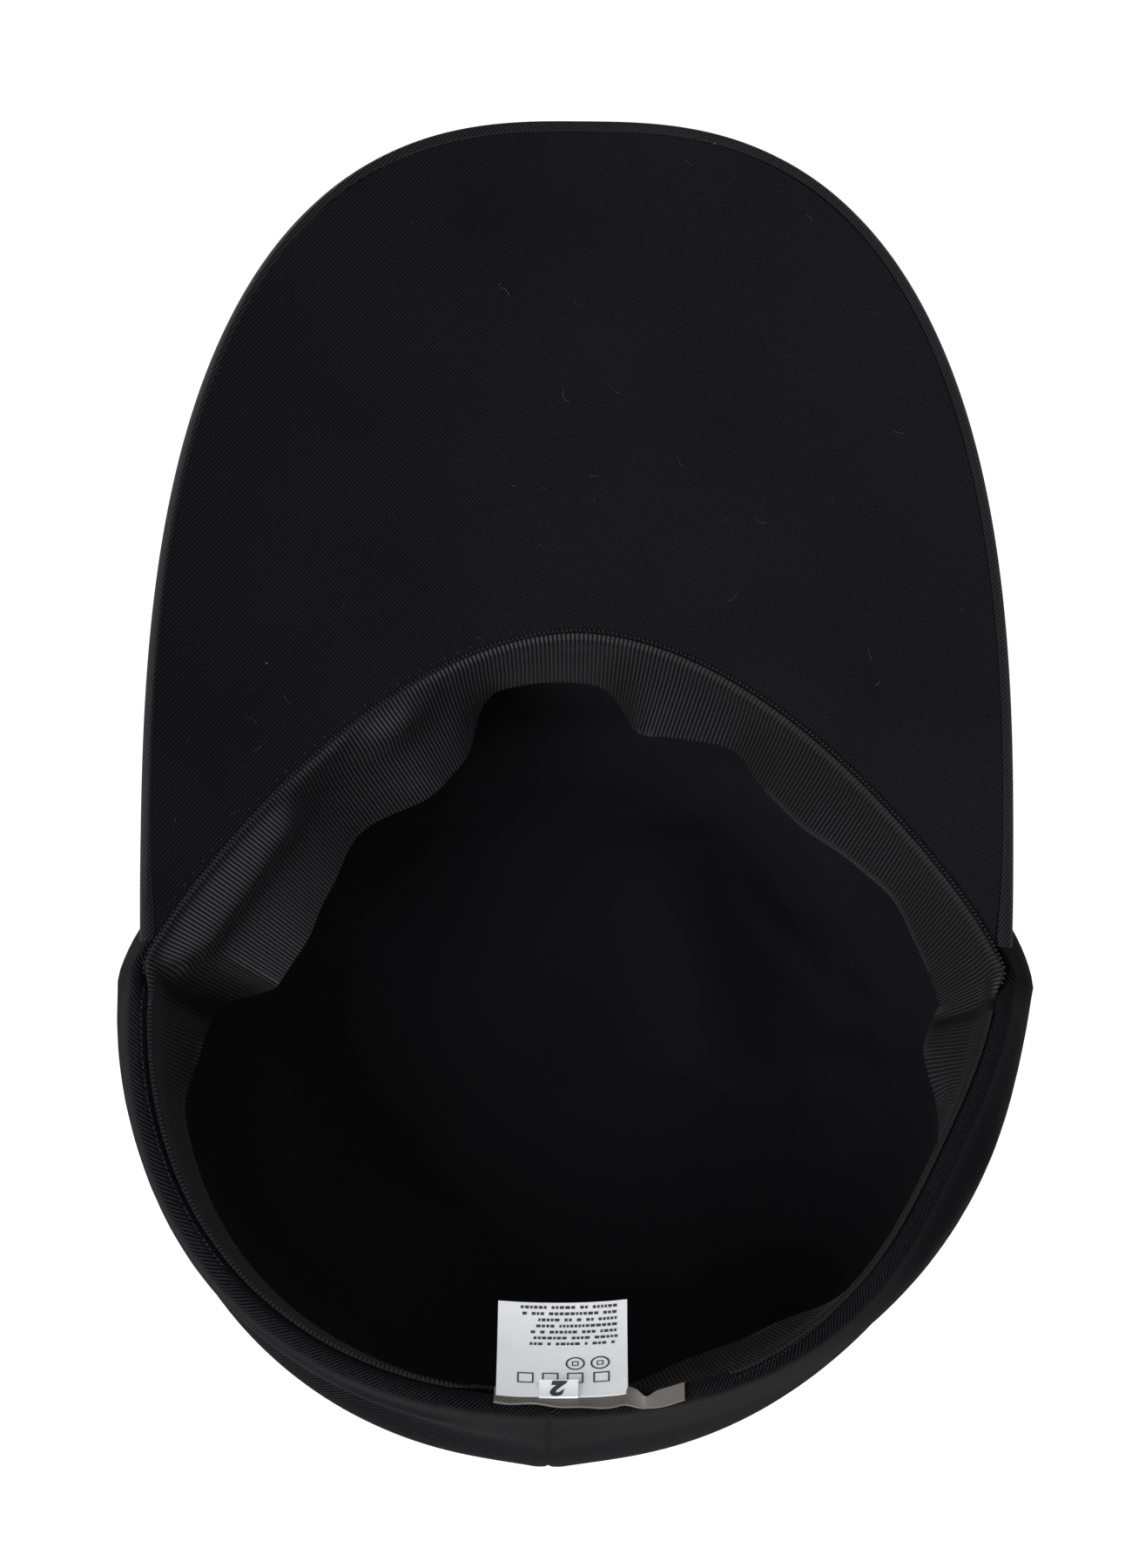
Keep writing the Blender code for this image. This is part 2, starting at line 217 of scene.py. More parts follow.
BAND_WAVES = (
    # angle, middle, free
    (0, 0.140, 0.350),
    (10, 0.120, 0.260),
    (20, 0.060, 0.150),
    (30, 0.100, 0.220),
    (40, 0.130, 0.320),
    (50, 0.120, 0.290),
    (60, 0.050, 0.140),
    (68, 0.120, 0.290),
    (77, 0.170, 0.450),
    (85, 0.040, 0.070),
    (105, 0.030, 0.000),
    (115, 0.180, 0.480),
    (125, 0.240, 0.600),
    (140, 0.140, 0.430),
    (155, 0.260, 0.640),
    (163, 0.330, 0.790),
    (175, 0.350, 0.840),
    (180, 0.160, 0.400),
    (190, 0.110, 0.280),
    (196, 0.050, 0.120),
    (245, 0.060, 0.140),
    (262, 0.040, 0.120),
    (278, 0.050, 0.140),
    (290, 0.100, 0.270),
    (303, 0.100, 0.240),
    (312, 0.020, 0.060),
    (322, -0.020, -0.050),
    (335, -0.030, -0.070),
    (342, 0.080, 0.100),
    (350, 0.150, 0.400),
)
print("sections:", len(CROWN_ROWS), "band waves:", len(BAND_WAVES))


# %% The form of the crown
def smooth_step(share):
    share = min(1.0, max(0.0, share))
    return share * share * (3 - 2 * share)


def curve_through(before, start, end, after, share):
    slope_in = (end - before) / 2
    slope_out = (after - start) / 2
    rest = end - start
    bend = slope_in + slope_out - 2 * rest
    return start + share * (slope_in + share * ((3 * rest - 2 * slope_in - slope_out) + share * bend))


def crown_row(place):
    last = len(CROWN_ROWS) - 1
    first = min(int(place), last - 1)
    rows = [CROWN_ROWS[min(last, max(0, first + step))] for step in (-1, 0, 1, 2)]
    values = [curve_through(*column, place - first) for column in zip(*rows)]
    return dict(zip(CROWN_COLUMNS, values))


def wave_between(turned, column):
    turned = turned % 360
    rows = list(BAND_WAVES) + [(BAND_WAVES[0][0] + 360,) + BAND_WAVES[0][1:]]
    for start, end in zip(rows, rows[1:]):
        if start[0] <= turned <= end[0]:
            share = smooth_step((turned - start[0]) / (end[0] - start[0]))
            return start[column] + share * (end[column] - start[column])


def wave_at(angle, column):
    """The ribbon's wave, with its corners rounded off over a few degrees."""
    turned = math.degrees(angle)
    parts = [wave_between(turned + step, column) for step in (-3, -1.5, 0, 1.5, 3)]
    return sum(parts) / len(parts)


def fold_at(angle, height):
    total = 0.0
    for fold_angle, spread, level, level_spread, out in CROWN_FOLDS:
        turned = (math.degrees(angle) - fold_angle + 180) % 360 - 180
        total += out * math.exp(-((turned / spread) ** 2) - ((height - level) / level_spread) ** 2)
    return total * rim_roll


def plan_radius(angle, half_width, reach, across, along):
    side = abs(math.cos(angle)) / half_width
    front = abs(math.sin(angle)) / reach
    low = 0.0
    high = 2 * max(half_width, reach)
    for _ in range(30):
        middle = (low + high) / 2
        if (middle * side) ** across + (middle * front) ** along < 1:
            low = middle
        else:
            high = middle
    return low


def plan_point(angle, row):
    out = row["out"] * rim_roll + fold_at(angle, row["height"])
    half_width = rim_half_width * row["width"] + out
    if math.sin(angle) >= 0:
        reach = root_reach * row["front"] + out
        radius = plan_radius(angle, half_width, reach, row["across"], row["along"])
    else:
        reach = back_reach * row["back"] + out
        radius = plan_radius(angle, half_width, reach, row["round"], row["round"])
    x = radius * math.cos(angle)
    y = radius * math.sin(angle)
    return x - back_skew * max(0.0, -y / back_reach), y


def peak_height(x, y):
    root_y = root_reach * math.cos(lie_angle)
    root_z = rim_height - root_reach * math.sin(lie_angle) - peak_dip
    arch = peak_arch * (x / peak_half_width) ** 2 / math.cos(peak_slope)
    return root_z + (y - root_y) * math.tan(peak_slope) + arch


def peak_normal(x):
    across = 2 * peak_arch * x / (peak_half_width**2 * math.cos(peak_slope))
    return Vector((-across, -math.tan(peak_slope), 1)).normalized()


peak_wall = under_cover_wall + clearance + upper_cover_wall


def under_peak(angle):
    return smooth_step(1 + math.asin(math.sin(angle)) / rim_step)


def rim_top(angle, x, y):
    opening = rim_height - y * math.tan(lie_angle)
    seat = peak_height(x, y) - (peak_wall + seat_clearance) / peak_normal(x).z
    return opening + under_peak(angle) * (seat - opening)


def crown_point(angle, place):
    row = crown_row(place)
    x, along = plan_point(angle, row)
    y = along * math.cos(lie_angle)
    return Vector((x, y, row["height"] * rim_top(angle, x, y) - row["drop"] * rim_roll))


def crown_normal(angle, place):
    step = 0.01
    last = len(CROWN_ROWS) - 1
    round_step = crown_point(angle + step, place) - crown_point(angle - step, place)
    down_step = crown_point(angle, min(last, place + step)) - crown_point(angle, max(0.0, place - step))
    return down_step.cross(round_step).normalized()


print("rim at the forehead:", [round(value, 4) for value in crown_point(math.pi / 2, 1)])

# %% [markdown]
# Every cloth starts as a grid primitive. Its points are put where a formula says, as when we
# pull a net over a form. Then the edges that meet are merged, and a Solidify modifier gives
# the cloth its wall. The grid keeps its UV map, in which we write real lengths along the
# cloth in metres, so a weave has the right size and follows the surface.


# %% Cloth from a grid
def only(piece):
    """Make this piece the only one selected, and the active one."""
    bpy.ops.object.select_all(action="DESELECT")
    piece.select_set(True)
    bpy.context.view_layer.objects.active = piece


def edit(piece, *steps):
    """Do each of these steps in edit mode, with all of the piece selected."""
    only(piece)
    bpy.ops.object.mode_set(mode="EDIT")
    for step in steps:
        bpy.ops.mesh.select_all(action="SELECT")
        step()
    bpy.ops.object.mode_set(mode="OBJECT")


def normals_outwards():
    bpy.ops.mesh.normals_make_consistent(inside=False)


def add_piece(name, mesh):
    piece = bpy.data.objects.new(name, mesh)
    bpy.context.scene.collection.objects.link(piece)
    return piece


def piece_from(name, bm):
    """A new piece from a bmesh, which is then let go."""
    mesh = bpy.data.meshes.new(name)
    bm.to_mesh(mesh)
    bm.free()
    return add_piece(name, mesh)


def values_of(mesh, kind):
    values = numpy.empty(len(mesh.vertices) * 3)
    mesh.vertices.foreach_get(kind, values)
    return values.reshape(-1, 3)


def places_of(mesh):
    return values_of(mesh, "co")


def normals_of(mesh):
    return values_of(mesh, "normal")


def push(mesh, heights):
    """Move each point of a mesh by its height along its own normal."""
    places = places_of(mesh) + normals_of(mesh) * heights[:, None]
    mesh.vertices.foreach_set("co", places.ravel())
    mesh.update()


def lengths_along(points, axis):
    """Distance travelled along one direction of a net of points, from its first line."""
    steps = numpy.linalg.norm(numpy.diff(points, axis=axis), axis=2)
    start = numpy.zeros_like(numpy.take(steps, [0], axis=axis))
    return numpy.cumsum(numpy.concatenate((start, steps), axis=axis), axis=axis)


def cloth(name, points):
    """A sheet through a net of points: rows, then columns. Its faces look along columns x rows."""
    points = numpy.array(points, dtype=float)
    rows, columns = points.shape[:2]
    counts = {"x_subdivisions": columns - 1, "y_subdivisions": rows - 1}
    piece = add_new(bpy.ops.mesh.primitive_grid_add, size=1, **counts)
    piece.name = name
    mesh = piece.data
    mesh.name = name
    flat = places_of(mesh)
    column = numpy.rint((flat[:, 0] + 0.5) * (columns - 1)).astype(int)
    row = numpy.rint((flat[:, 1] + 0.5) * (rows - 1)).astype(int)
    mesh.vertices.foreach_set("co", points[row, column].ravel())
    along = numpy.mean(lengths_along(points, 1), axis=0)[None, :].repeat(rows, axis=0)
    down = lengths_along(points, 0)
    corner = numpy.empty(len(mesh.loops), dtype=int)
    mesh.loops.foreach_get("vertex_index", corner)
    uv = numpy.stack((along[row, column][corner], down[row, column][corner]), axis=1)
    layer = mesh.uv_layers[0]
    layer.name = "cloth"
    layer.data.foreach_set("uv", uv.ravel())
    mesh.update()
    return piece


def merge(piece, distance=1e-6):
    edit(piece, lambda: bpy.ops.mesh.remove_doubles(threshold=distance))


def thicken(piece, wall, offset=-1.0):
    """Give a sheet its wall, and keep it."""
    only(piece)
    modifier = piece.modifiers.new("wall", "SOLIDIFY")
    modifier.thickness = wall
    modifier.offset = offset
    modifier.use_quality_normals = True
    bpy.ops.object.modifier_apply(modifier=modifier.name)


def shade(piece, sharp=60):
    only(piece)
    bpy.ops.object.shade_smooth_by_angle(angle=math.radians(sharp))


def dress(piece, slot, finish, *nodes):
    """Give a piece its material, and let it take the place of its solids. The slot is not used."""
    piece.data.materials.clear()
    piece.data.materials.append(finish)
    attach(piece, "root")
    if nodes:
        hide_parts(*nodes)
    print(piece.name, "faces:", len(piece.data.polygons))


# %% [markdown]
# Creases are easiest to place where the picture shows them. A line of sight goes from the
# camera through a point of the picture, and where it meets the cloth, the crease passes. The
# cloth near that line is then pushed along its own normals: a crease has a narrow crest and a
# wider foot, and it fades out at both ends.


# %% Creases along a line of sight
def sight(column, row):
    """The direction in which a point of the picture is seen."""
    reach = camera_lens / camera_sensor * picture_height
    across = (column - picture_width / 2) / reach
    upward = (picture_height / 2 - row) / reach
    return (look + picture_right * across + picture_up * upward).normalized()


def seen_on(tree, spots):
    """Where the lines of sight through these picture points meet the cloth."""
    found = [tree.ray_cast(camera_place, sight(*spot))[0] for spot in spots]
    return [place for place in found if place is not None]


def tree_of(piece):
    bm = bmesh.new()
    bm.from_mesh(piece.data)
    tree = BVHTree.FromBMesh(bm)
    bm.free()
    return tree


def crease(piece, line, width, height):
    """Push the cloth along a line of places by this height, over this width to each side."""
    places = places_of(piece.data)
    line = numpy.array(line, dtype=float)
    best = numpy.full(len(places), 1e9)
    share = numpy.zeros(len(places))
    for step, (start, end) in enumerate(zip(line, line[1:])):
        run = end - start
        part = numpy.clip((places - start) @ run / (run @ run), 0, 1)
        gap = numpy.linalg.norm(places - start - part[:, None] * run, axis=1)
        near = gap < best
        best[near] = gap[near]
        share[near] = (step + part[near]) / (len(line) - 1)
    fade = numpy.sin(numpy.pi * numpy.clip(share, 0, 1)) ** 0.5
    push(piece.data, height * fade * numpy.exp(-((best / width) ** 2)))


# %% [markdown]
# The materials are written as sums. One small class wraps a socket, so that a weave can be
# written as a sine of a length along the cloth. Wool twill shows fine diagonal lines, a fuzz
# of fibres and a few pale specks of lint. The ribbon has a painted highlight on its crests and
# painted shade in the valleys between its ribs. The lining is a plain, even cotton.


# %% Sums on sockets
class Signal:
    """One output of a material's nodes."""

    def __init__(self, tree, output):
        self.tree = tree
        self.output = output

    def node(self, kind, settings=(), inputs=(), output=0):
        """Add any node: first its settings, then the values or links of its sockets."""
        made = self.tree.nodes.new("ShaderNode" + kind)
        for name, value in dict(settings).items():
            setattr(made, name, value)
        for name, value in dict(inputs).items():
            if isinstance(value, Signal):
                self.tree.links.new(value.output, made.inputs[name])
            else:
                made.inputs[name].default_value = value
        return Signal(self.tree, made.outputs[output])

    def maths(self, operation, *values):
        return self.node("Math", {"operation": operation}, dict(enumerate(values)))

    def __add__(self, other):
        return self.maths("ADD", self, other)

    def __mul__(self, other):
        return self.maths("MULTIPLY", self, other)

    def __sub__(self, other):
        return self.maths("SUBTRACT", self, other)

    def __rsub__(self, other):
        return self.maths("SUBTRACT", other, self)

    __radd__ = __add__
    __rmul__ = __mul__

    def wave(self, length):
        """From 0 to 1 and back over each such length."""
        return self.maths("SINE", self * (math.tau / length)) * 0.5 + 0.5

    def noise(self, scale, detail=2.0):
        """Soft random values from 0 to 1, about this many to a metre."""
        return self.node("TexNoise", (), {"Vector": self, "Scale": scale, "Detail": detail})

    def part(self, axis):
        return self.node("SeparateXYZ", (), {0: self}, axis)

    def between(self, low, high):
        """0 below low, 1 above high, and a straight slope between."""
        settings = {"clamp": True}
        return self.node("MapRange", settings, {0: self, 1: low, 2: high, 3: 0.0, 4: 1.0})


def new_finish(name, roughness, sheen=0.0, sheen_roughness=0.4, specular=0.3):
    """A material with its constant values set, and the signals that its nodes start from."""
    finish = bpy.data.materials.new(name)
    finish.use_nodes = True
    tree = finish.node_tree
    shader = tree.nodes["Principled BSDF"]
    shader.inputs["Roughness"].default_value = roughness
    shader.inputs["Sheen Weight"].default_value = sheen
    shader.inputs["Sheen Roughness"].default_value = sheen_roughness
    shader.inputs["Specular IOR Level"].default_value = specular
    start = Signal(tree, shader.outputs[0])
    place = start.node("TexCoord", output="Object")
    cloth_place = start.node("UVMap", {"uv_map": "cloth"})
    along = cloth_place.part("X")
    down = cloth_place.part("Y")
    return finish, shader, start, place, along, down


def blend(start, share, dark, light):
    settings = {"data_type": "RGBA"}
    return start.node("Mix", settings, {0: share, 6: dark, 7: light}, 2)


def connect(start, shader, colour, height=None, depth=0.0002, strength=0.6, rough=None):
    tree = start.tree
    tree.links.new(colour.output, shader.inputs["Base Color"])
    if rough is not None:
        tree.links.new(rough.output, shader.inputs["Roughness"])
    if height is not None:
        bump = start.node("Bump", (), {"Strength": strength, "Distance": depth, "Height": height})
        tree.links.new(bump.output, shader.inputs["Normal"])


def grey(value, tint=0.0):
    """A dark colour, a little bluer where tint is more than nothing."""
    return (value * (1 - tint / 2), value * (1 - tint / 2), value * (1 + tint), 1)


# %% Wool twill
twill_pitch = 0.00067
twill_angle = math.radians(52)


def wool_twill(name, dark, light, sheen, gloss=0.08, flat=False):
    """Diagonal ribs of wool, fuzz, lint, and slow changes of tone."""
    finish, shader, start, place, along, down = new_finish(name, 0.9, sheen, 0.45, gloss)
    if flat:
        along = place.part("X")
        down = place.part("Y")
    across = along * math.sin(twill_angle) - down * math.cos(twill_angle)
    run = along * math.cos(twill_angle) + down * math.sin(twill_angle)
    ribs = across.wave(twill_pitch)
    yarns = run.wave(twill_pitch * 0.62)
    fuzz = place.noise(1500.0, 3.0)
    tone = place.noise(22.0)
    weave = ribs * 0.6 + yarns * 0.15 + fuzz * 0.5
    share = (weave * (tone * 0.7 + 0.6)).between(0.34, 0.81)
    lint_cell = {"Vector": place, "Scale": 130.0, "Randomness": 1.0}
    speck = start.node("TexVoronoi", (), lint_cell, "Distance")
    chance = start.node("TexVoronoi", (), lint_cell, "Color")
    rare = chance.node("SeparateColor", (), {0: chance}, 0).between(0.93, 0.94)
    lint = (1 - speck.between(0.03, 0.05)) * rare
    weave_colour = blend(start, share, dark, light)
    colour = blend(start, lint * 0.5, weave_colour, (0.16, 0.16, 0.17, 1))
    connect(start, shader, colour, weave, 0.00018, 0.7, tone * 0.12 + 0.82)
    return finish


# %% Ribbon, lining and satin
rib_pitch = 0.00099


def ribbed_ribbon(name):
    """Painted highlight on the crests, painted shade in the valleys, and the fine binding threads."""
    finish, shader, start, place, along, down = new_finish(name, 0.62, 0.04, 0.4, 0.18)
    ribs = along.wave(rib_total)
    threads = down.wave(0.00035)
    fuzz = place.noise(1900.0)
    tone = place.noise(30.0, 1.0)
    # The colour is painted: lighter on the rib crests as a highlight, darker in the valleys as shade.
    share = (ribs * 2.1 + fuzz * 0.30 + threads * 0.1 - 1.00) * (tone * 0.5 + 0.75)
    colour = blend(start, share.between(0.15, 1.2), grey(0.0001, 0.12), grey(0.0220, 0.10))
    connect(start, shader, colour, fuzz * 0.5 + threads * 0.5, 0.00006, 0.5, 0.72 - ribs * 0.14)
    return finish


def plain_cotton(name):
    finish, shader, start, place, along, down = new_finish(name, 0.8, 0.02, 0.5, 0.08)
    threads = along.wave(0.0005) * 0.5 + down.wave(0.0005) * 0.5
    fuzz = place.noise(1400.0, 3.0)
    tone = place.noise(18.0)
    share = (threads * 0.5 + fuzz * 0.5) * (tone * 0.8 + 0.6)
    colour = blend(start, share.between(0.1, 1.0), grey(0.0014, 0.2), grey(0.0050, 0.2))
    connect(start, shader, colour, threads * 0.6 + fuzz * 0.4, 0.00008, 0.5, tone * 0.1 + 0.75)
    return finish


def satin(name, dark, light, roughness):
    """A narrow woven tape: fine threads one way, and a soft gloss."""
    finish, shader, start, place, along, down = new_finish(name, roughness, 0.1, 0.3, 0.5)
    threads = along.wave(0.00032) * 0.35 + down.wave(0.0003) * 0.65
    fuzz = place.noise(1600.0)
    tone = place.noise(90.0, 1.0)
    share = (threads * 0.5 + fuzz * 0.3 + tone * 0.4).between(0.2, 1.0)
    colour = blend(start, share, dark, light)
    connect(start, shader, colour, threads, 0.00005, 0.5, tone * 0.15 + (roughness - 0.08))
    return finish


# %% [markdown]
# The crown is the outer shell. Its net has columns round the head opening, closer together at
# the middle of the back, where the seam is, and rows from the patch on the floor up to the
# wool turned in over the rim. The last row of the net is one point, the pole, which is merged.

# %% Crown
# The crown's wool is lighter than the same wool on the peak: painted light on the walls.
crown_wool = wool_twill("crown_wool", grey(0.0003, 0.14), grey(0.0104, 0.1), 0.015, gloss=0.01)
back_angle = -math.pi / 2
crown_steps = 10
plain_columns = 264


def round_angles(count):
    """Angles round the opening, with more of them at the seam at the middle of the back."""
    even = [math.tau * step / count for step in range(count)]
    fine = [back_angle + math.radians(step * 0.22) for step in range(-9, 10)]
    kept = [angle for angle in even if abs((angle - back_angle) % math.tau) > math.radians(2.2)]
    kept = [angle for angle in kept if math.tau - (angle - back_angle) % math.tau > math.radians(2.2)]
    whole = sorted(kept + [angle % math.tau for angle in fine])
    return whole + [whole[0] + math.tau]


def pucker(angle, place):
    """Small even waves that the rim's stitches pull into the wool."""
    near_rim = math.exp(-(((place - 2.6) / 1.5) ** 2))
    waves = math.sin(angle * 61) + 0.6 * math.sin(angle * 97 + 1.0) + 0.5 * math.sin(angle * 143 + 2.0)
    return 0.00007 * waves * near_rim


def back_seam_relief(angle, place):
    """A groove at the middle of the back, between two raised seam allowances."""
    off = abs((angle - back_angle + math.pi) % math.tau - math.pi) * back_reach
    groove = -0.00032 * math.exp(-((off / 0.0004) ** 2))
    raised = 0.00015 * math.exp(-(((off - 0.0024) / 0.0018) ** 2))
    return (groove + raised) * smooth_step((place - 1.5) / 1.0) * smooth_step((8.6 - place) / 1.0)


def crown_surface(angle, place):
    spot = crown_point(angle, place)
    relief = pucker(angle, place) + back_seam_relief(angle, place)
    return spot + crown_normal(angle, place) * relief


last_place = len(CROWN_ROWS) - 1
crown_angles = round_angles(plain_columns)
crown_rows = []
for share in (0.0, 0.25, 0.5, 0.75):
    crown_rows.append([crown_point(angle, last_place) * share for angle in crown_angles])
for step in range(last_place * crown_steps, -1, -1):
    crown_rows.append([crown_surface(angle, step / crown_steps) for angle in crown_angles])
crown = cloth("crown_shell", crown_rows)
merge(crown)

# %% [markdown]
# Two soft folds show beyond the rim at the back, where the crown's cloth has slumped. The one
# on the left is a narrow crest, and the one on the right is wide and low.

# %% Folds at the back
LEFT_FOLD = ((254, 1488), (290, 1521), (345, 1560), (400, 1592), (450, 1612), (513, 1630), (560, 1648))
RIGHT_FOLD = (
    (1146, 1300), (1135, 1324), (1110, 1363), (1089, 1399), (1062, 1440), (1035, 1482), (1005, 1518)
)
crown_tree = tree_of(crown)
crease(crown, seen_on(crown_tree, LEFT_FOLD), 0.0022, 0.0009)
crease(crown, seen_on(crown_tree, RIGHT_FOLD), 0.0035, 0.0008)
thicken(crown, wool_wall)
shade(crown)
dress(crown, "crown_wool", crown_wool, "crown")

# %% [markdown]
# The lining follows the inside of the wool. It is thinner and looser, so its bottom is full of
# shallow dents and a few long soft creases on the right.

# %% Lining
lining_cotton = plain_cotton("lining_cotton")
lining_depth = wool_wall + lining_clearance
lining_steps = 14
lining_columns = 240


def slack(x, y, z):
    """Shallow dents of loose cloth, at most half a millimetre deep."""
    first = math.sin(95 * x + 38 * y + 0.6) * math.sin(31 * x - 88 * y + 70 * z + 1.9)
    second = math.sin(190 * x - 120 * y + 0.4) * math.sin(150 * y + 60 * x + 90 * z)
    return 0.00028 * first + 0.00012 * second


LINING_CREASES = (
    # points of the picture, width to each side, height
    (((800, 1240), (812, 1200), (808, 1150), (792, 1080), (776, 1010), (768, 950)), 0.013, 0.0045),
    (((845, 1010), (870, 1045), (915, 1090), (944, 1131), (973, 1168)), 0.0030, 0.0013),
    (((960, 1140), (985, 1195), (1000, 1245), (1008, 1300)), 0.0026, 0.0012),
    (((915, 1060), (960, 1120), (1010, 1165)), 0.0028, 0.0011),
    (((940, 1190), (965, 1260), (975, 1330)), 0.0035, 0.0012),
    (((820, 1340), (880, 1330), (930, 1300)), 0.0050, 0.0008),
    (((360, 1130), (400, 1200), (420, 1290)), 0.0050, 0.0007),
)


lining_angles = [math.tau * step / lining_columns for step in range(lining_columns + 1)]
lining_rows = []
edge_spots = [crown_point(angle, last_place) for angle in lining_angles]
floor_rings = 24
for ring in range(floor_rings):
    share = ring / floor_rings
    lining_rows.append([Vector((spot.x * share, spot.y * share, lining_depth)) for spot in edge_spots])
first_step = int((last_place - LINING_FROM) * lining_steps) - lining_steps // 2
lining_rows.append([Vector((spot.x, spot.y, lining_depth)) for spot in edge_spots])
for step in range(first_step, -1, -1):
    place = LINING_FROM + step / lining_steps
    lining_rows.append(
        [crown_point(angle, place) - crown_normal(angle, place) * lining_depth for angle in lining_angles]
    )
lining = cloth("lining_shell", lining_rows)
merge(lining)
push(lining.data, numpy.array([slack(*spot) for spot in places_of(lining.data)]))
lining_tree = tree_of(lining)
for line, width, height in LINING_CREASES:
    crease(lining, seen_on(lining_tree, line), width, -height)
thicken(lining, lining_wall)
shade(lining)
dress(lining, "lining_cotton", lining_cotton, "lining")

# %% [markdown]
# The sweatband is a ribbed ribbon, sewn along one edge only, so its other edge waves. The rows
# of its net follow a curve through the sewn edge, a bow, the middle and the free edge. Each
# rib is real: it has four columns of the net, which go up and down once, and a whole number
# of ribs goes round, so the ribbon closes exactly.


# %% Sweatband
edge_up_wool = 0.0046
edge_to_wool = 0.0011
edge_over_peak = 0.0016
edge_lift = 0.0009
labels_middle = 275
labels_spread = 13
labels_ease = 5
beside_labels = 293
beside_spread = 11
beside_out = 0.0026
band_shares = [0, 0.35, 0.7] + [1 + step / 4 for step in range(13)]


def seam_frame(angle):
    row = crown_row(0)
    ahead = Vector(plan_point(angle + band_corner_ease, row))
    behind = Vector(plan_point(angle - band_corner_ease, row))
    run = (ahead - behind).normalized()
    x, along = plan_point(angle, row)
    return Vector((x, along * math.cos(lie_angle), 0)), Vector((-run.y, run.x, 0))


def seam_height(angle, x, y):
    under = rim_top(angle, x, y)
    share = under_peak(angle)
    return under + share * (peak_height(x, y) - under) - (1 - share) * seam_drop * rim_roll


def raised_share(angle):
    """1 where the ribbon reaches up the turned wool, 0 under the labels at the back."""
    off = abs(math.degrees(angle) % 360 - labels_middle)
    return smooth_step((off - labels_spread) / labels_ease)


def band_guides(angle):
    """The sewn edge, the seam, the bow, the middle and the free edge of the ribbon."""
    seam, inwards = seam_frame(angle)
    half = band_width / 2
    middle_in = wave_at(angle, 1) * band_width
    free_in = wave_at(angle, 2) * band_width
    middle_drop = math.sqrt(half**2 - middle_in**2)
    free_drop = middle_drop + math.sqrt(max(0.0, half**2 - (free_in - middle_in) ** 2))
    top = seam + inwards * (clearance + band_wall)
    top.z = seam_height(angle, seam.x, seam.y)
    down = Vector((0, 0, -1))
    fold = smooth_step((wave_at(angle, 1) - band_fold_from) / band_fold_over)
    bow_in = middle_in * (band_bow_in + fold * band_fold_in)
    bow = top + inwards * bow_in + down * middle_drop * (band_bow_down - fold * band_fold_down)
    middle = top + inwards * middle_in + down * middle_drop
    free = top + inwards * free_in + down * free_drop
    share = under_peak(angle)
    edge = top - inwards * (share * edge_over_peak)
    edge.z += share * (peak_height(edge.x, edge.y) - peak_height(top.x, top.y) + edge_lift)
    raised = (1 - share) * raised_share(angle)
    edge += (Vector((0, 0, edge_up_wool)) - inwards * edge_to_wool) * raised
    seam_line = top - down * (raised * edge_up_wool * 0.75)
    reach = math.exp(-(((math.degrees(angle) % 360 - beside_labels) / beside_spread) ** 2))
    edge += (Vector((0, 0, 0.0010)) - inwards * beside_out) * reach
    seam_line += (Vector((0, 0, 0.0016)) - inwards * (beside_out * 0.55)) * reach
    return [edge, seam_line, bow, middle, free]


def band_line(angle):
    """Places down the ribbon, on a curve through its guides."""
    guides = band_guides(angle)
    guides = [2 * guides[0] - guides[1]] + guides + [2 * guides[-1] - guides[-2]]
    places = []
    for share in band_shares:
        first = min(3, int(share))
        four = guides[first:first + 4]
        places.append(Vector([curve_through(*values, share - first) for values in zip(*four)]))
    return places


band_even = [math.tau * step / 720 for step in range(721)]
seam_spots = [band_guides(angle)[1] for angle in band_even]
seam_lengths = [0.0]
for start, end in zip(seam_spots, seam_spots[1:]):
    seam_lengths.append(seam_lengths[-1] + (end - start).length)
rib_count = round(seam_lengths[-1] / rib_pitch)
rib_total = seam_lengths[-1] / rib_count
columns_per_rib = 4
rib_height = 0.00018
print("ribs:", rib_count, "pitch:", round(rib_total * 1000, 3), "mm")


def angle_at(length):
    """The angle at which the sewn edge has run this far."""
    return float(numpy.interp(length, seam_lengths, band_even))


band_total = rib_count * columns_per_rib
band_columns = []
for column in range(band_total + 1):
    place = (column % band_total) / band_total * seam_lengths[-1]
    band_columns.append(band_line(angle_at(place)))
band = cloth("sweatband_ribbon", list(zip(*band_columns)))
band_columns_uv = numpy.array([column / columns_per_rib * rib_total for column in range(band_total + 1)])


def write_even_lengths(piece, lengths):
    """Give each column of a net the length along the sewn edge, so that the ribs stay even."""
    layer = piece.data.uv_layers["cloth"].data
    uv = numpy.empty(len(layer) * 2)
    layer.foreach_get("uv", uv)
    uv = uv.reshape(-1, 2)
    means = numpy.unique(numpy.round(uv[:, 0], 9))
    uv[:, 0] = lengths[numpy.searchsorted(means, numpy.round(uv[:, 0], 9))]
    layer.foreach_set("uv", uv.ravel())


write_even_lengths(band, band_columns_uv)
band_order = numpy.arange(len(band.data.vertices)) % (band_total + 1)
push(band.data, numpy.cos(band_order * math.tau / columns_per_rib) * rib_height)
merge(band, 2e-6)
thicken(band, 0.0007)
shade(band, 80)
dress(band, "band_ribbon", ribbed_ribbon("band_ribbon"), "sweatband")
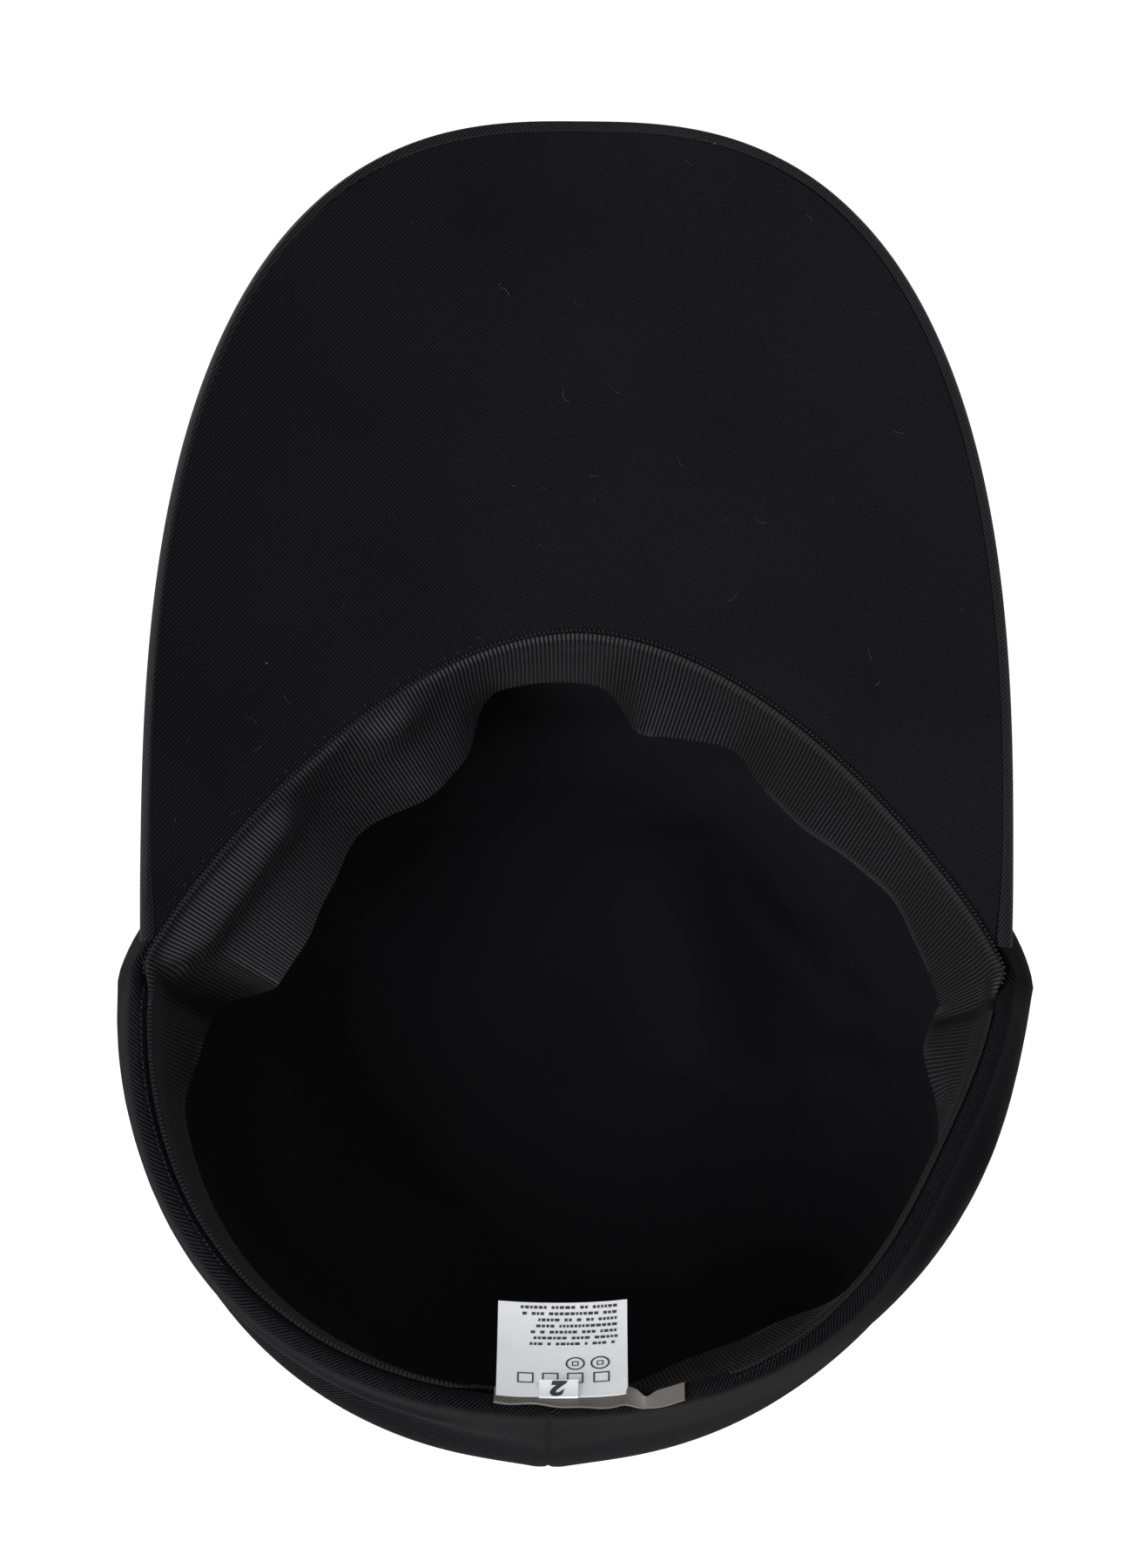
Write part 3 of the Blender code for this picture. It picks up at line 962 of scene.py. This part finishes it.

# %% [markdown]
# The peak has two covers. The upper one wraps round the edge, and its turned edge ends a few
# millimetres in, where the under cover begins: the picture shows this as a thin dark line. The
# upper cover's wool is lighter than the under cover's: a painted highlight on the turned edge.


# %% Peak
def peak_lines(count):
    row = crown_row(0)
    semi_length = peak_length + peak_widest_behind
    root_y = root_reach * math.cos(lie_angle)
    widest_y = root_y - peak_widest_behind * math.cos(peak_slope)
    corner_y = plan_point(peak_corner, row)[1] * math.cos(lie_angle) - peak_corner_step
    corner_share = (widest_y - corner_y) / (semi_length * math.cos(peak_slope))
    start = -math.asin(corner_share ** (peak_power / 2))
    pairs = []
    for step in range(count + 1):
        share = step / count
        angle = peak_corner + share * (math.pi - 2 * peak_corner)
        x, along = plan_point(angle, row)
        root = Vector((x, along * math.cos(lie_angle)))
        turned = start + share * (math.pi - 2 * start)
        side = math.copysign(abs(math.cos(turned)) ** (2 / peak_power), math.cos(turned))
        tip = math.copysign(abs(math.sin(turned)) ** (2 / peak_power), math.sin(turned))
        edge = Vector((peak_half_width * side, widest_y + semi_length * tip * math.cos(peak_slope)))
        pairs.append((root, edge))
    return pairs


def peak_point(place, depth):
    x, y = place
    return Vector((x, y, peak_height(x, y))) - peak_normal(x) * depth


peak_count = 220
peak_rows = 60
edge_bulge = 0.0004
under_net = []
upper_net = []
for root, edge in peak_lines(peak_count):
    width = (edge - root).length
    lip = min(turned_edge, turned_share * width)
    inner = edge + (root - edge) * (lip / width)
    cover_end = edge + (root - edge) * ((lip + clearance) / width)
    shares = [step / peak_rows for step in range(peak_rows + 1)]
    under_net.append([peak_point(root.lerp(cover_end, share), 0) for share in reversed(shares)])
    bulge = edge + (edge - root) * (edge_bulge / width)
    shares = [step / 24 for step in range(25)]
    outside = [peak_point(root.lerp(edge, share), peak_wall) for share in shares]
    round_edge = [
        peak_point(edge.lerp(bulge, 0.7), peak_wall * 0.82),
        peak_point(bulge, peak_wall * 0.55),
        peak_point(edge.lerp(bulge, 0.8), peak_wall * 0.2),
        peak_point(edge, 0.0),
        peak_point(edge.lerp(inner, 0.5), -0.00005),
        peak_point(inner, 0.00012),
        peak_point(inner, under_cover_wall),
    ]
    inside = [peak_point(root.lerp(inner, share), under_cover_wall + clearance) for share in reversed(shares)]
    loop = outside + round_edge + inside
    upper_net.append(loop + loop[:1])

peak_under = cloth("peak_under_cover", list(zip(*under_net)))
thicken(peak_under, under_cover_wall)
shade(peak_under)
peak_under_wool = wool_twill("peak_under_wool", grey(0.0002, 0.2), grey(0.0076, 0.16), 0.02, flat=True)
dress(peak_under, "peak_under_wool", peak_under_wool, "peak_under")

peak_upper = cloth("peak_upper_cover", upper_net)
merge(peak_upper)
edit(peak_upper, lambda: bpy.ops.mesh.fill_holes(sides=0), normals_outwards)
shade(peak_upper)
# Lighter colours than the under cover, of the same wool: a painted highlight on the turned edge.
peak_upper_wool = wool_twill("peak_upper_wool", grey(0.0012, 0.14), grey(0.0150, 0.12), 0.08, flat=True)
dress(peak_upper, "peak_upper_wool", peak_upper_wool, "peak_upper")

# %% [markdown]
# Three labels are sewn in at the middle of the back: a white care label, a small white tab with
# a plain number on top of it, and a grey-brown satin strip underneath.


# %% Labels
rim_row = crown_row(0)
back_x, back_along = plan_point(back_angle, rim_row)


def back_seam(x):
    share = abs(x - back_x) / rim_half_width
    y = back_along * (1 - share ** rim_row["round"]) ** (1 / rim_row["round"]) * math.cos(lie_angle)
    return y, rim_top(back_angle, x, y) - label_drop * rim_roll


sewn_out = -0.0002
sewn_up = 0.0012
label_lean = math.radians(44)


def label_spot(size, place, lift, across, down):
    """A place on a label: across and down are shares of its width and length."""
    width, length = size
    x = back_x + place + width * (across - 0.5)
    seam_y, seam_z = back_seam(x)
    bend = label_lean + label_bend * (0.5 - down)
    root = Vector((x, seam_y + sewn_out, seam_z + sewn_up + lift))
    return root + Vector((0, math.cos(bend), -math.sin(bend))) * length * down


pinch_at = 0.80
pinch_half = 0.04
strip_over_roll = 0.0018
strip_rise = 0.0033
strip_under_label = 0.0008


def strip_spot(across, down):
    """A place on the strip: it lies on the roll of the rim, then dips into the hollow."""
    pinch = math.exp(-(((across - pinch_at) / pinch_half) ** 2))
    swell = math.exp(-(((across - 0.55) / 0.20) ** 2))
    beside = smooth_step((across - 0.66) / 0.14)
    x = back_x + strip_place + strip_size[0] * (across - 0.5)
    seam_y, seam_z = back_seam(x)
    over = strip_over_roll + 0.0010 * swell + 0.0022 * beside + 0.0002 * math.sin(across * 23)
    top = strip_rise + 0.0001 * math.sin(across * 31 + 1)
    passing = strip_under_label + 0.0014 * beside
    on_roll = math.hypot(over, top - passing)
    gone = strip_size[1] * down * (1 - 0.35 * pinch) * (1 - 0.36 * beside)
    share = min(1.0, gone / on_roll)
    beyond = max(0.0, gone - on_roll)
    dip = strip_dip - math.radians(12) * beside
    y = seam_y - over * (1 - share) + beyond * math.cos(dip)
    z = seam_z + top + (passing - top) * share - beyond * math.sin(dip) + 0.0008 * pinch * down
    return Vector((x, y, z))


def label(name, spot_of, node, slot, finish, columns=24, rows=16):
    net = [
        [spot_of(across / columns, down / rows) for across in range(columns + 1)]
        for down in range(rows + 1)
    ]
    piece = cloth(name, net)
    thicken(piece, label_wall * 0.4)
    shade(piece)
    dress(piece, slot, finish, node)
    return piece


care_size = (0.0276, 0.0294)
care_place = 0.0024
tab_size = (0.0082, 0.0052)
tab_place = 0.0017
strip_size = (0.0398, 0.0062)
strip_dip = math.radians(52)
strip_place = 0.0081
white_satin = satin("care_label_cloth", (0.63, 0.64, 0.66, 1), (0.85, 0.86, 0.88, 1), 0.6)
tab_satin = satin("size_tab_cloth", (0.66, 0.67, 0.69, 1), (0.88, 0.89, 0.90, 1), 0.6)
taupe_satin = satin("woven_label_satin", (0.058, 0.052, 0.047, 1), (0.125, 0.115, 0.104, 1), 0.42)
tab_lift = 0.0006


def care_spot(across, down):
    return label_spot(care_size, care_place, 0.0, across, down)


def tab_spot(across, down):
    return label_spot(tab_size, tab_place, tab_lift, across, down)


care = label("care_label_tape", care_spot, "care_label", "care_label_cloth", white_satin)
label("size_tab_tape", tab_spot, "size_tab", "size_tab_cloth", tab_satin, 12, 8)
label("woven_label_strip", strip_spot, "woven_label", "woven_label_satin", taupe_satin, 80, 8)

# %% [markdown]
# The care label carries rows of small woven bars where a real one has its text, and a few
# plain rings and squares. They are thin raised threads that follow the label's own bend. The
# tab has a plain number, made from a text object that is turned into a mesh and laid on it.


# %% Marks on the labels
def on_care(across, down, lift=0.00006):
    """A place on top of the care label: shares of its width and of its length."""
    return label_spot(care_size, care_place, lift / math.cos(label_lean), across, down)


def flat_marks(name, shapes, slot, finish):
    """One thin mesh of four-sided marks, each given by its corners as shares of the label."""
    bm = bmesh.new()
    for corners in shapes:
        bm.faces.new([bm.verts.new(on_care(*corner)) for corner in corners])
    piece = piece_from(name, bm)
    edit(piece, normals_outwards)
    thicken(piece, 0.00004, 0.0)
    dress(piece, slot, finish)
    return piece


def bar(left, right, low, high):
    return ((left, low), (right, low), (right, high), (left, high))


def ring_of(centre, radius, count, thick):
    """A ring, or a square where count is 4, as a loop of four-sided marks."""
    stretch = care_size[0] / care_size[1]
    start = math.pi / count
    shapes = []
    for step in range(count):
        corners = []
        inner = radius - thick
        for turned, reach in ((step, radius), (step + 1, radius), (step + 1, inner), (step, inner)):
            angle = start + math.tau * turned / count
            across = centre[0] + reach * math.cos(angle)
            corners.append((across, centre[1] + reach * stretch * math.sin(angle)))
        shapes.append(corners)
    return shapes


mark_draw = random.Random(7)
first_line = 0.955
line_pitch = 0.060
line_half = 0.013
letter_gap = 0.011
word_gap = 0.040
ring_level = 0.385
square_level = 0.225
marks = []
for line in range(7):
    level = first_line - line * line_pitch
    place = 0.93 - mark_draw.random() * 0.03
    words_end = 0.12 + mark_draw.random() * 0.30
    while place > words_end:
        letter = 0.016 + mark_draw.random() * 0.020
        marks.append(bar(place - letter, place, level - line_half, level + line_half))
        place -= letter + (letter_gap if mark_draw.random() < 0.8 else word_gap)
for centre in (0.60, 0.79):
    marks += ring_of((centre, ring_level), 0.074, 24, 0.013)
    marks += ring_of((centre, ring_level), 0.036, 4, 0.012)
for centre in (0.22, 0.41, 0.60, 0.80):
    marks += ring_of((centre, square_level), 0.088, 4, 0.016)
mark_ink, ink_shader, ink_start, ink_place, _, _ = new_finish("mark_threads", 0.5, specular=0.5)
ink_share = ink_place.noise(3000.0).between(0.3, 0.7)
connect(ink_start, ink_shader, blend(ink_start, ink_share, (0.012, 0.012, 0.018, 1), (0.05, 0.05, 0.06, 1)))
care_marks = flat_marks("care_label_marks", marks, "care_label_cloth", mark_ink)

number = add_new(bpy.ops.object.text_add)
number.name = "size_number"
number.data.body = "2"
number.data.size = 0.0058
number.data.offset = 0.00030
number.data.shear = 0.25
number.data.extrude = 0.00003
bpy.ops.object.convert(target="MESH")
number_places = places_of(number.data)
number_middle = (number_places.min(axis=0) + number_places.max(axis=0)) / 2
for vertex in number.data.vertices:
    off = vertex.co - Vector(number_middle)
    share_across = 0.5 - off.x / tab_size[0]
    share_down = 0.5 - off.y / tab_size[1]
    base = label_spot(tab_size, tab_place, tab_lift + 0.0001, share_across, share_down)
    vertex.co = base + Vector((0, math.sin(label_lean), math.cos(label_lean))) * off.z
dress(number, "size_tab_cloth", mark_ink)

# %% [markdown]
# Along its sewn edge the ribbon ends in a row of tiny loops, one for each rib, with a line of
# machine stitches beside them. One loop is made from a torus and one stitch from a sphere
# that is drawn out long. Then copies of them are set along the seam, each in its own frame.


# %% Loops and stitches
def copies(name, model, frames, slot, finish):
    """One mesh of copies of a small model, each moved by a matrix."""
    places = places_of(model.data)
    faces = [tuple(face.vertices) for face in model.data.polygons]
    bpy.data.objects.remove(model, do_unlink=True)
    all_places = []
    all_faces = []
    for number_of_copy, frame_of_copy in enumerate(frames):
        matrix = numpy.array(frame_of_copy)
        all_places.append(places @ matrix[:3, :3].T + matrix[:3, 3])
        shift = number_of_copy * len(places)
        all_faces += [tuple(corner + shift for corner in face) for face in faces]
    mesh = bpy.data.meshes.new(name)
    mesh.from_pydata(numpy.concatenate(all_places).tolist(), [], all_faces)
    mesh.update()
    piece = add_piece(name, mesh)
    shade(piece)
    dress(piece, slot, finish)
    return piece


def frame_of(place, along, upwards):
    """A matrix whose x runs along, and whose z looks upwards."""
    side = upwards.cross(along).normalized()
    along = side.cross(upwards).normalized()
    matrix = Matrix((along, side, upwards.normalized())).transposed().to_4x4()
    return Matrix.Translation(place) @ matrix


def loop_model():
    radii = {"major_radius": 0.00036, "minor_radius": 0.00011}
    model = add_new(bpy.ops.mesh.primitive_torus_add, major_segments=10, minor_segments=5, **radii)
    edit(model, lambda: bpy.ops.transform.resize(value=(0.80, 2.0, 1.1)))
    return model


def stitch_model(length, radius):
    """A thread that dives into the cloth at both ends."""
    model = add_new(bpy.ops.mesh.primitive_uv_sphere_add, segments=8, ring_count=6, radius=1.0)
    edit(model, lambda: bpy.ops.transform.resize(value=(length / 2, radius, radius * 0.8)))
    return model


def thread(name, dark, light, roughness):
    finish, shader, start, place, _, _ = new_finish(name, roughness, 0.03, 0.4, 0.15)
    twist = place.noise(2600.0)
    colour = blend(start, twist.between(0.3, 0.7), dark, light)
    connect(start, shader, colour, twist, 0.00005, 0.6)
    return finish


def seam_spot(angle, out, lift):
    """A place beside the sewn edge: out over the peak's face in front, up the wool behind."""
    top = band_guides(angle)[0]
    _, inwards = seam_frame(angle)
    share = under_peak(angle)
    spot = top - inwards * (out * share)
    climb = peak_height(spot.x, spot.y) - peak_height(top.x, top.y) - edge_lift
    spot.z += climb * share + out * (1 - share)
    upwards = (peak_normal(spot.x) * share + inwards * (1 - share)).normalized()
    return spot + upwards * lift, upwards


loop_frames = []
loop_out = 0.00042
loop_lift = 0.00014
loops_end = 0.85
for rib in range(rib_count):
    angle = angle_at((rib + 0.5) * rib_total)
    nearby = angle_at((rib + 0.6) * rib_total % seam_lengths[-1])
    along = band_guides(nearby)[0] - band_guides(angle)[0]
    spot, upwards = seam_spot(angle, loop_out, loop_lift)
    if not 0.0 < under_peak(angle) < loops_end:
        loop_frames.append(frame_of(spot, along, upwards))
loop_thread = thread("loop_thread", grey(0.003, 0.1), grey(0.022, 0.08), 0.6)
copies("selvedge_loops", loop_model(), loop_frames, "band_ribbon", loop_thread)

rim_stitch_pitch = 0.0014
rim_place = 1.55
rim_stitches = []
rim_even = [math.radians(182 + step * 0.25) for step in range(172)]
rim_spots = [crown_surface(angle, rim_place) for angle in rim_even]
travelled = 0.0
following = 0.0
for step, (start, end) in enumerate(zip(rim_spots, rim_spots[1:])):
    travelled += (end - start).length
    if travelled >= following:
        following += rim_stitch_pitch
        upwards = crown_normal(rim_even[step], rim_place)
        rim_stitches.append(frame_of(start + upwards * 0.00006, end - start, upwards))
rim_thread = thread("rim_thread", grey(0.004, 0.05), grey(0.030, 0.05), 0.6)
copies("rim_stitches", stitch_model(0.00095, 0.00014), rim_stitches, "crown_wool", rim_thread)

peak_stitch_frames = []
for step in range(34):
    angle = math.radians(98 + step * 2.2)
    spot, upwards = seam_spot(angle, 0.0024, 0.00003)
    ahead, _ = seam_spot(angle + 0.01, 0.0024, 0.00003)
    peak_stitch_frames.append(frame_of(spot, ahead - spot, upwards))
copies("peak_seam_stitches", stitch_model(0.0008, 0.00012), peak_stitch_frames, "peak_under_wool", rim_thread)

# %% [markdown]
# Black wool always carries a few pale fibres. Each is a short bent tube as thin as a hair,
# laid on the cloth where a vertical line from above first meets it.


# %% Lint
def fibre(start, along, upwards, length, bend):
    """Places along one bent hair that lies on the cloth."""
    side = upwards.cross(along).normalized()
    places = []
    for step in range(6):
        share = step / 5 - 0.5
        aside = bend * length * (share * share * 4 - 1)
        places.append(start + along * (length * share) + side * aside)
    return places


def hair_mesh(name, hairs, radius, slot, finish):
    bm = bmesh.new()
    for places, upwards in hairs:
        rings = []
        for step, place in enumerate(places):
            ahead = places[min(step + 1, len(places) - 1)] - places[max(step - 1, 0)]
            side = upwards.cross(ahead).normalized()
            around = []
            for turned in range(3):
                angle = math.tau * turned / 3
                out = side * math.cos(angle) + upwards * math.sin(angle)
                around.append(bm.verts.new(place + out * radius))
            rings.append(around)
        for first, second in zip(rings, rings[1:]):
            for turned in range(3):
                nearby = (turned + 1) % 3
                bm.faces.new((first[turned], first[nearby], second[nearby], second[turned]))
        bm.faces.new(reversed(rings[0]))
        bm.faces.new(rings[-1])
    bmesh.ops.recalc_face_normals(bm, faces=bm.faces)
    dress(piece_from(name, bm), slot, finish)


lint_draw = random.Random(11)
lint_hairs = []
peak_tree = tree_of(peak_under)
while len(lint_hairs) < 34:
    x = lint_draw.uniform(-0.088, 0.088)
    y = lint_draw.uniform(-0.01, 0.19)
    spot, normal, _, _ = peak_tree.ray_cast(Vector((x, y, 0.3)), Vector((0, 0, -1)))
    turned = lint_draw.uniform(0, math.tau)
    length = lint_draw.uniform(0.0006, 0.0030)
    bend = lint_draw.uniform(-0.3, 0.3)
    if spot is not None and normal.z > 0.5:
        along = Vector((math.cos(turned), math.sin(turned), 0))
        along = (along - normal * along.dot(normal)).normalized()
        lint_hairs.append((fibre(spot + normal * 0.00005, along, normal, length, bend), normal))
lint_thread = thread("lint_thread", grey(0.03, 0.02), grey(0.09, 0.02), 0.7)
hair_mesh("peak_lint", lint_hairs, 0.00003, "peak_under_wool", lint_thread)
